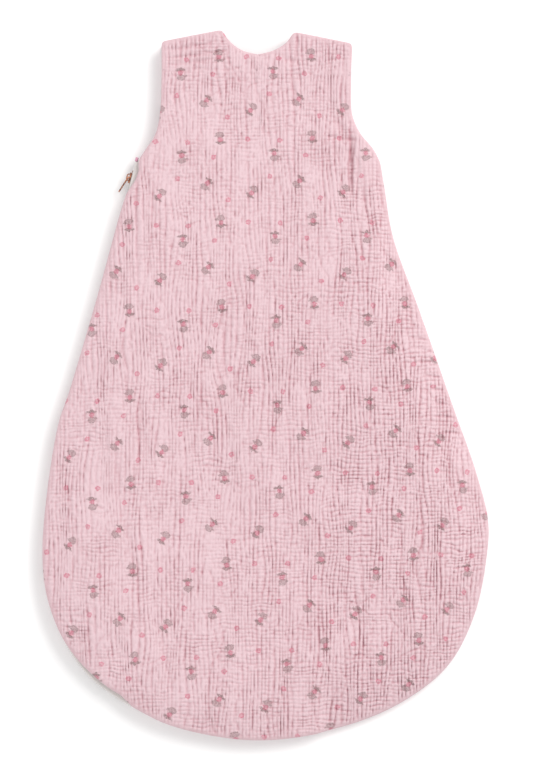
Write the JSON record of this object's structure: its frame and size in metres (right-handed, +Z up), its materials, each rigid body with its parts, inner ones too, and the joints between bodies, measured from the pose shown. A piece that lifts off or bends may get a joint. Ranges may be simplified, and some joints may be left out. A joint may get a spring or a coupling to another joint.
{
  "type": "baby sleeping bag",
  "caption": "Sleeveless padded sleeping bag for a baby, laid face down, with a side zip running round the foot and press-stud shoulders.",
  "frame": {"origin": "centre of the footprint, on the surface that the bag lies on", "axes": "+Z up through the back panel, +Y towards the neck, -X towards the zip side"},
  "size_m": [0.4402, 0.6999, 0.032],
  "materials": {
    "gauze": "soft crinkled double gauze, pale pink with a small sprig print",
    "lining": "smooth cotton lining, very pale pink",
    "wadding": "soft polyester wadding",
    "tape": "ribbed woven zip tape, off-white",
    "coil": "satin moulded zip teeth, off-white",
    "copper": "polished rose-copper plating",
    "snap": "satin dusty pink acetal",
    "label": "white satin ribbon, blank"
  },
  "bodies": {
    "front": {"front_outer_gauze": "gauze", "front_wadding": "wadding", "front_lining": "lining", "side_outer_gauze": "gauze", "side_wadding": "wadding", "side_lining": "lining", "zip_coil_front": "coil", "zip_tape_front": "tape", "zip_top_stop_front": "copper", "zip_bottom_stop": "copper", "zip_end_tab": "gauze", "left_outer_snap_cap": "snap", "left_outer_snap_socket": "snap", "left_inner_snap_cap": "snap", "left_inner_snap_socket": "snap", "right_outer_snap_cap": "snap", "right_outer_snap_socket": "snap", "right_inner_snap_cap": "snap", "right_inner_snap_socket": "snap", "care_label": "label"},
    "back": {"back_outer_gauze": "gauze", "back_wadding": "wadding", "back_lining": "lining", "zip_coil_back": "coil", "zip_tape_back": "tape", "zip_top_stop_back": "copper"},
    "left_strap": {"left_shoulder_outer_gauze": "gauze", "left_shoulder_wadding": "wadding", "left_shoulder_lining": "lining", "left_shoulder_tab": "gauze", "left_outer_snap_stud": "snap", "left_outer_snap_post": "snap", "left_inner_snap_stud": "snap", "left_inner_snap_post": "snap"},
    "right_strap": {"right_shoulder_outer_gauze": "gauze", "right_shoulder_wadding": "wadding", "right_shoulder_lining": "lining", "right_shoulder_tab": "gauze", "right_outer_snap_stud": "snap", "right_outer_snap_post": "snap", "right_inner_snap_stud": "snap", "right_inner_snap_post": "snap"},
    "slider": {"zip_slider_body": "copper", "zip_slider_bridge": "copper"},
    "pull": {"zip_pull_tab": "copper"}
  },
  "joints": [
    {"name": "back_open", "type": "hinge", "parent": "front", "child": "back", "pos_m": [0.106, 0, 0.0323], "axis": [0, 1, 0], "range_deg": [0, 150]},
    {"name": "left_strap_open", "type": "hinge", "parent": "back", "child": "left_strap", "pos_m": [-0.06854, 0.3199, 0.0211], "axis": [0.9818, 0.1898, 0], "range_deg": [0, 120]},
    {"name": "right_strap_open", "type": "hinge", "parent": "back", "child": "right_strap", "pos_m": [0.05139, 0.31793, 0.0211], "axis": [0.9806, -0.1961, 0], "range_deg": [0, 120]},
    {"name": "zip_slide", "type": "slide", "parent": "front", "child": "slider", "axis": [-0.2607, -0.9654, 0], "range_m": [0, 0.24]},
    {"name": "pull_swing", "type": "hinge", "parent": "slider", "child": "pull", "pos_m": [-0.13603, 0.20533, 0.01165], "axis": [0, 0, -1], "range_deg": [-17, 140]}
  ]
}
